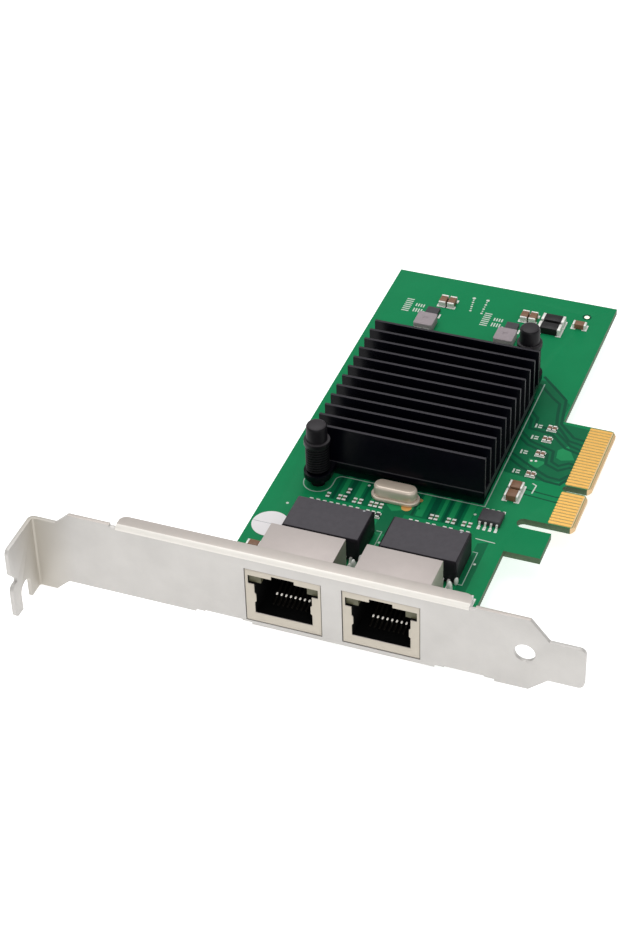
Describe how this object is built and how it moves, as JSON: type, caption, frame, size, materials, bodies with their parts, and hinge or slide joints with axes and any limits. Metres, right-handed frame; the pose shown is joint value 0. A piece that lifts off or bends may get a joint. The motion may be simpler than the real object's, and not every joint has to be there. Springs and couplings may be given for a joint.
{
  "type": "network interface card",
  "caption": "Expansion card with shielded network ports in a folded screw bracket, a black finned cooler on push pins and a gold edge connector.",
  "frame": {"origin": "on the bracket's outer face, midway between the two ports, level with the component side of the board", "axes": "+X along the bracket from the screw ear to the tongue, +Y from the bracket to the far end of the board, +Z out of the component side"},
  "size_m": [0.1201, 0.1381, 0.0232],
  "materials": {
    "solder_mask": "semi-gloss green solder mask over glass-epoxy laminate",
    "gold_plate": "hard gold plating",
    "zinc_steel": "satin plated sheet steel",
    "screw_steel": "zinc plated",
    "shield_tin": "tin-plated sheet",
    "jack_insert": "moulded black",
    "contact_gold": "gold-flashed spring wire",
    "light_pipe": "clear moulded plastic over a dark cavity",
    "module_black": "moulded epoxy",
    "lead_tin": "tinned leads",
    "chip_black": "moulded epoxy",
    "pad_grey": "soft gap filler",
    "black_anodised": "black anodised extrusion",
    "pin_black": "moulded nylon",
    "spring_black": "black-oxide music wire",
    "crystal_nickel": "drawn nickel-plated can",
    "inductor_grey": "pressed grey composite",
    "choke_black": "fired ferrite",
    "capacitor_tan": "fired ceramic",
    "resistor_black": "glazed film",
    "label_white": "coated paper"
  },
  "bodies": {
    "root": {"board": "solder_mask", "bracket": "zinc_steel", "bracket_nut_1": "screw_steel", "bracket_nut_2": "screw_steel", "bracket_screw_1": "screw_steel", "bracket_screw_2": "screw_steel", "bulk_capacitor_caps": "lead_tin", "bulk_capacitors": "capacitor_tan", "ceramic_capacitor_caps": "lead_tin", "ceramic_capacitors": "capacitor_tan", "chip_resistor_caps": "lead_tin", "chip_resistors": "resistor_black", "controller_chip": "chip_black", "crystal_base": "crystal_nickel", "crystal_can": "crystal_nickel", "edge_contacts": "gold_plate", "heatsink": "black_anodised", "input_choke_caps": "lead_tin", "input_chokes": "choke_black", "inspection_label": "label_white", "jack_contacts_1": "contact_gold", "jack_contacts_2": "contact_gold", "jack_housing_1": "jack_insert", "jack_housing_2": "jack_insert", "jack_light_pipes_1": "light_pipe", "jack_light_pipes_2": "light_pipe", "jack_shield_1": "shield_tin", "jack_shield_2": "shield_tin", "magnetics_1": "module_black", "magnetics_2": "module_black", "magnetics_leads_1": "lead_tin", "magnetics_leads_2": "lead_tin", "memory_chip": "chip_black", "memory_chip_leads": "lead_tin", "power_inductor_1": "inductor_grey", "power_inductor_2": "inductor_grey", "push_pin_1": "pin_black", "push_pin_2": "pin_black", "push_pin_spring_1": "spring_black", "push_pin_spring_2": "spring_black", "regulator_chip_1": "chip_black", "regulator_chip_2": "chip_black", "small_capacitor_caps": "lead_tin", "small_capacitors": "capacitor_tan", "supply_chip": "chip_black", "supply_chip_leads": "lead_tin", "thermal_pad": "pad_grey"}
  },
  "joints": []
}
